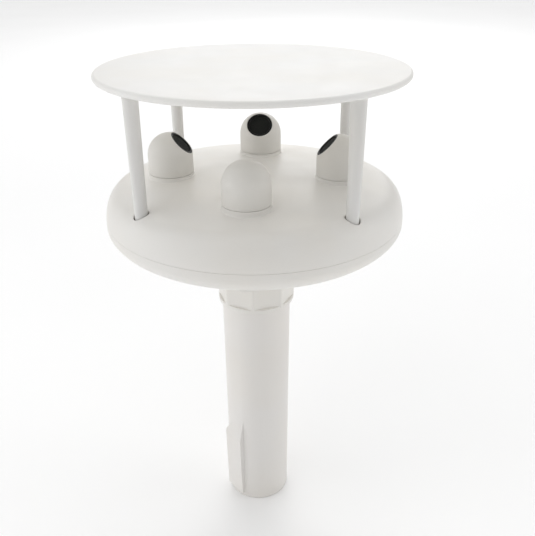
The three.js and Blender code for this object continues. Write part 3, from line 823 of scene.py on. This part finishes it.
def dome_seal(name):
    return lathe(name, fillet([
        (7.2, seal_low.z + 0.7, 0),
        (7.2, seal_low.z, 0.3),
        (8.8, seal_low.z, 0.3),
        (8.8, seal_high.z, 0.3),
        (7.2, seal_high.z, 0.3),
        (7.2, seal_low.z + 0.7, 0),
    ])[:-1], MEDIUM_STEPS)


for side, angle in SIDES.items():
    for make, name, look, node in (
        (dome_cap, "dome_cap_", "dome_white", "sensor_dome_"),
        (sleeve, "sleeve_lip_", "sleeve_rubber", "transducer_sleeve_"),
        (transducer, "transducer_face_", "transducer_face", "transducer_"),
        (dome_seal, "dome_gasket_", "seal_rubber", "dome_seal_"),
    ):
        head = place(make(name + side), angle, DOME_CIRCLE)
        stand_for(head, LOOKS[look], node + side)


# ---------------------------------------------------------------- screws

def hex_socket(radius, bottom, top):
    return cylinder("hex_socket", radius, bottom, top, 6)


def housing_screw(name, node):
    """Pan head with a hexagon socket, facing down, and a threaded shank."""
    low, high = box_mm(node)
    head_top = low.z + 2.4
    head = 3
    shank = 1.45
    outline = fillet([
        (0, low.z, 0),
        (head, low.z, 0.7),
        (head, head_top, 0.15),
        (shank, head_top, 0),
    ])
    pitch = 0.9
    crest = head_top + pitch
    while crest + pitch < high.z:
        outline += [
            (shank - 0.2, crest),
            (shank, crest + pitch * 0.35),
            (shank - 0.2, crest + pitch * 0.7),
        ]
        crest += pitch
    outline += [(shank - 0.3, high.z), (0, high.z)]
    return cut(lathe(name, outline, SMALL_STEPS), [hex_socket(1.35, low.z - 1, low.z + 1.4)])


def lock_screw(name, length):
    """Headless screw along Z: a flat tip at the start, a hexagon socket in the end."""
    radius = 2.4
    pitch = 0.8
    outline = [(0, 0), (radius - 0.45, 0), (radius - 0.1, 0.35)]
    crest = 0.45
    while crest + pitch < length - 0.3:
        outline += [(radius, crest), (radius - 0.28, crest + pitch / 2)]
        crest += pitch
    outline += [(radius, length - 0.3), (radius - 0.3, length), (0, length)]
    screw = lathe(name, outline, SMALL_STEPS)
    return cut(screw, [hex_socket(1.45, length - 2, length + 1)])


def lay_along_x(piece, start, height):
    """A piece built up Z is laid along +X, its foot at start, at a height."""
    turn = Matrix.Rotation(math.pi / 2, 4, "Y")
    piece.data.transform(Matrix.Translation((start * MM, 0, height * MM)) @ turn)
    return piece


for side, angle in SIDES.items():
    screw_low, screw_high = box_mm("housing_screw_right")
    screw = housing_screw("housing_screw_steel_" + side, "housing_screw_right")
    place(screw, angle, (screw_low.x + screw_high.x) / 2)
    stand_for(screw, LOOKS["stainless"], "housing_screw_" + side)


# ---------------------------------------------------------------- mounting tube

LOCK_TIP = 13.6
LOCK_LENGTH = LOCK_PAD_REACH - 0.2 - LOCK_TIP
INSERT_RADIUS = 3.6
INSERT_SEAT = 15


def lock_height(name):
    low, high = box_mm("lock_screw_" + name)
    return (low.z + high.z) / 2


LOCKS = {name: lock_height(name) for name in ("lower", "upper")}


def pad_block(name, foot_reach, head_reach, half_width):
    """A flat pad on the tube whose top slopes back into it."""
    return slab(name, fillet([
        (SOCKET_RADIUS - 1, PAD_BOTTOM, 0),
        (foot_reach, PAD_BOTTOM, 0.5),
        (head_reach, PAD_HEAD, 1.2),
        (SOCKET_RADIUS + 1, PAD_TOP, 0),
        (SOCKET_RADIUS - 1, PAD_TOP, 0),
    ], 4), 2 * half_width)


def lock_pad():
    pad = pad_block("lock_pad", LOCK_PAD_REACH, LOCK_PAD_REACH, LOCK_PAD_HALF_WIDTH)
    return place(round_edges(pad, 0.5, 50), LOCK_PAD_ANGLE)


def key_pad():
    """The raised key, with one upper corner cut away across its face."""
    corner = slab("key_corner", [(-9, 41.2), (-4.2, 48.5), (0.5, 51.2), (0.5, 63), (-9, 63)], 60)
    pad = pad_block("key_pad", KEY_FOOT_REACH, KEY_HEAD_REACH, KEY_HALF_WIDTH)
    cut(pad, [place(corner, 90)])
    return place(round_edges(pad, 0.4, 50), KEY_ANGLE)


def lock_hole(height):
    cutter = lathe("lock_hole", [
        (0, 0),
        (2.8, 0),
        (2.8, INSERT_SEAT - 8),
        (INSERT_RADIUS + 0.06, INSERT_SEAT - 8),
        (INSERT_RADIUS + 0.06, LOCK_PAD_REACH - 8.25),
        (INSERT_RADIUS + 0.3, LOCK_PAD_REACH - 8),
        (INSERT_RADIUS + 0.3, LOCK_PAD_REACH - 5),
        (0, LOCK_PAD_REACH - 5),
    ], SMALL_STEPS)
    return place(lay_along_x(cutter, 8, height), LOCK_PAD_ANGLE)


def mounting_tube():
    tenon = COLLAR_BORE - 0.3
    shoulder = COLLAR_BOTTOM - 0.16
    groove = box_mm("neck_seal")
    web_top = SOCKET_DEPTH + 3.2
    tube = lathe("mounting_tube_moulding", fillet([
        (SOCKET_RADIUS, 6, 0),
        (SOCKET_RADIUS, 0, 0.5),
        (TUBE_FOOT_RADIUS, 0, 0.7),
        (TUBE_TOP_RADIUS, shoulder, 0.35),
        (tenon, shoulder, 0),
        (tenon, groove[0].z - 0.2, 0),
        (14.5, groove[0].z - 0.2, 0),
        (14.5, groove[1].z + 0.2, 0),
        (tenon, groove[1].z + 0.2, 0),
        (tenon, TUBE_TOP, 0.4),
        (12.6, TUBE_TOP, 0.4),
        (12.6, web_top, 0.4),
        (6.3, web_top, 0),
        (6.3, WEB_SEAT, 0),
        (9.4, WEB_SEAT, 0),
        (9.4, SOCKET_DEPTH, 0.1),
        (SOCKET_RADIUS, SOCKET_DEPTH, 0.4),
        (SOCKET_RADIUS, 30, 0),
    ]), MEDIUM_STEPS)
    join(tube, [lock_pad(), key_pad()])
    bore = cylinder("socket_bore", SOCKET_RADIUS, 0.7, SOCKET_DEPTH - 0.5, MEDIUM_STEPS)
    return cut(tube, [bore] + [lock_hole(height) for height in LOCKS.values()])


def lock_insert(name):
    """Brass bush with a chamfered mouth."""
    length = LOCK_PAD_REACH - 0.15 - INSERT_SEAT - 0.1
    return lathe(name, [
        (2.5, 0),
        (INSERT_RADIUS, 0),
        (INSERT_RADIUS, length - 0.15),
        (INSERT_RADIUS - 0.15, length),
        (2.8, length),
        (2.5, length - 0.3),
    ], SMALL_STEPS)


stand_for(mounting_tube(), LOOKS["tube_white"], "mounting_tube")
for name, height in LOCKS.items():
    bush = lay_along_x(lock_insert("lock_bush_" + name), INSERT_SEAT + 0.1, height)
    stand_for(place(bush, LOCK_PAD_ANGLE), LOOKS["brass"], "lock_insert_" + name)
    node = "lock_screw_" + name
    screw = lay_along_x(lock_screw("lock_screw_steel_" + name, LOCK_LENGTH), LOCK_TIP, height)
    stand_for(place(screw, LOCK_PAD_ANGLE), LOOKS["stainless"], node, node)


# ---------------------------------------------------------------- connector in the socket

CONNECTOR_BORE = 5.2


def connector_shell(name):
    """Threaded coupling barrel, panel flange, and a plain tail through the web."""
    low, high = box_mm("connector_shell")
    flange_top = box_mm("connector_seal")[0].z - 0.02
    flange_bottom = flange_top - 2
    outline = [(CONNECTOR_BORE + 0.2, low.z), (6.5, low.z), (6.75, low.z + 0.3)]
    pitch = 1.0
    crest = low.z + 0.8
    while crest + pitch < flange_bottom - 0.8:
        outline += [(6.9, crest), (6.55, crest + pitch / 2)]
        crest += pitch
    outline += [
        (6.6, flange_bottom),
        (8.35, flange_bottom),
        (8.6, flange_bottom + 0.25),
        (8.6, flange_top - 0.25),
        (8.35, flange_top),
        (6, flange_top),
        (6, high.z - 0.3),
        (5.7, high.z),
        (CONNECTOR_BORE, high.z),
        (CONNECTOR_BORE, low.z + 0.25),
    ]
    return lathe(name, outline, SMALL_STEPS)


def connector_insert(name):
    low, high = box_mm("connector_insert")
    face = 54
    insert = lathe(name, fillet([
        (0, face, 0),
        (CONNECTOR_BORE - 0.06, face, 0.3),
        (CONNECTOR_BORE - 0.06, high.z, 0.2),
        (0, high.z, 0),
    ]), SMALL_STEPS)
    keyway = cylinder("keyway", 0.7, face - 1, face + 3, 24)
    return cut(insert, [place(keyway, 90, CONNECTOR_BORE - 0.3)])


def connector_pin(name):
    tip = box_mm("connector_insert")[0].z
    return lathe(name, fillet([
        (0, tip, 0),
        (0.5, tip, 0.35),
        (0.5, 55, 0),
        (0, 55, 0),
    ]), 24)


PIN_COUNT = 5
PIN_CIRCLE = 3
barrel = connector_shell("connector_barrel")
stand_for(barrel, LOOKS["connector_metal"], "connector_shell")
core = connector_insert("connector_core")
stand_for(core, LOOKS["black_nylon"], "connector_insert")
for count in range(PIN_COUNT):
    pin = connector_pin("connector_pin_%d" % (count + 1))
    place(pin, 360 * count / PIN_COUNT, PIN_CIRCLE)
    smooth(pin)
    pin.data.materials.append(LOOKS["brass"])
    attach(pin, "root")


# ---------------------------------------------------------------- stage

def add_floor():
    shader = Shader("floor", 0.7)
    shade = shader.remap(shader.noise(3, 2), 0.3, 0.7, 0, 1)
    shader.color(shader.mix(shade, (0.96, 0.96, 0.96), (0.98, 0.98, 0.98)))
    mesh = bmesh.new()
    bmesh.ops.create_grid(mesh, x_segments=8, y_segments=8, size=15)
    floor = new_piece("floor", mesh)
    floor.data.materials.append(shader.material)


def add_canopy(name, tilt_x, tilt_y, strength, spread):
    """A far, very wide light: it shines straight down before it's tilted."""
    data = bpy.data.lights.new(name, "SUN")
    data.energy = strength
    data.angle = math.radians(spread)
    lamp = bpy.data.objects.new(name, data)
    lamp.rotation_euler = (math.radians(tilt_x), math.radians(tilt_y), 0)
    bpy.context.scene.collection.objects.link(lamp)


def add_globe(name, place_at, radius, power):
    """A soft ball of light, which lights the floor on all sides of it."""
    data = bpy.data.lights.new(name, "POINT")
    data.shadow_soft_size = radius
    data.energy = power
    lamp = bpy.data.objects.new(name, data)
    lamp.location = place_at
    lamp.visible_camera = False
    bpy.context.scene.collection.objects.link(lamp)


def add_world(strength):
    world = bpy.data.worlds.new("studio")
    world.use_nodes = True
    background = world.node_tree.nodes["Background"]
    background.inputs["Color"].default_value = (1, 1, 1, 1)
    background.inputs["Strength"].default_value = strength
    bpy.context.scene.world = world


add_floor()
add_world(0.4)
add_canopy("overhead", 0, 0, 0.57, 70)
add_canopy("front_left", 35, -40, 0.38, 50)
add_canopy("behind", -45, 0, 0.88, 60)
add_globe("left", (-1.3, -0.1, 0.5), 0.5, 13)
add_globe("right", (1.3, 0.1, 0.5), 0.5, 11.5)
add_globe("back", (0, 1.7, 0.6), 0.6, 14)
bpy.context.scene.view_settings.view_transform = "Standard"
